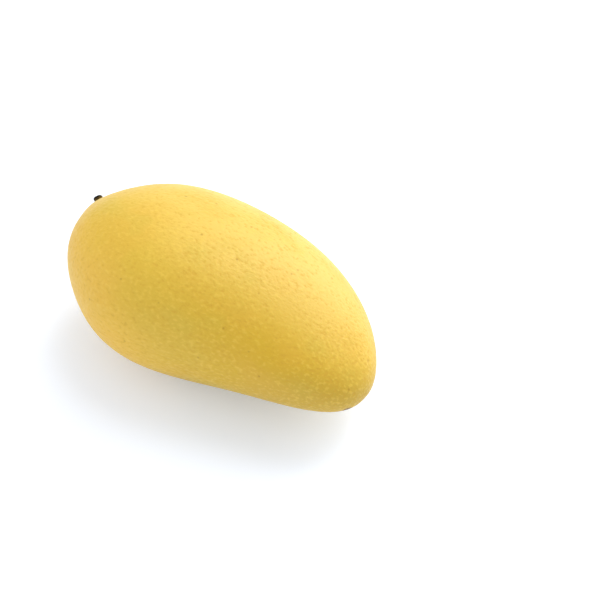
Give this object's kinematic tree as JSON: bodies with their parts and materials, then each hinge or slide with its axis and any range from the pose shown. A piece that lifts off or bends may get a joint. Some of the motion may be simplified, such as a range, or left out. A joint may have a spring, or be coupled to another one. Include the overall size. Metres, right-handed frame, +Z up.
{
  "type": "mango",
  "caption": "Whole ripe mango lying on one cheek, with a rounded blunt end, an arched back, a full belly shoulder, a tapered apex and a short dark stub of the cut stalk.",
  "frame": {"origin": "on the surface that the fruit rests on, under the middle of its box", "axes": "+X runs from the blunt end to the apex, +Y to the arched back, +Z up out of the upper cheek"},
  "size_m": [0.1516, 0.0822, 0.0707],
  "materials": {
    "skin": "ripe mango skin: thin, waxy and satin, finely pebbled, golden yellow with an orange-tinged blunt end",
    "stalk": "dried dark brown stalk, rough and nearly black, with a lighter cut face"
  },
  "bodies": {
    "root": {"fruit": "skin", "stem_stub": "stalk"}
  },
  "joints": []
}
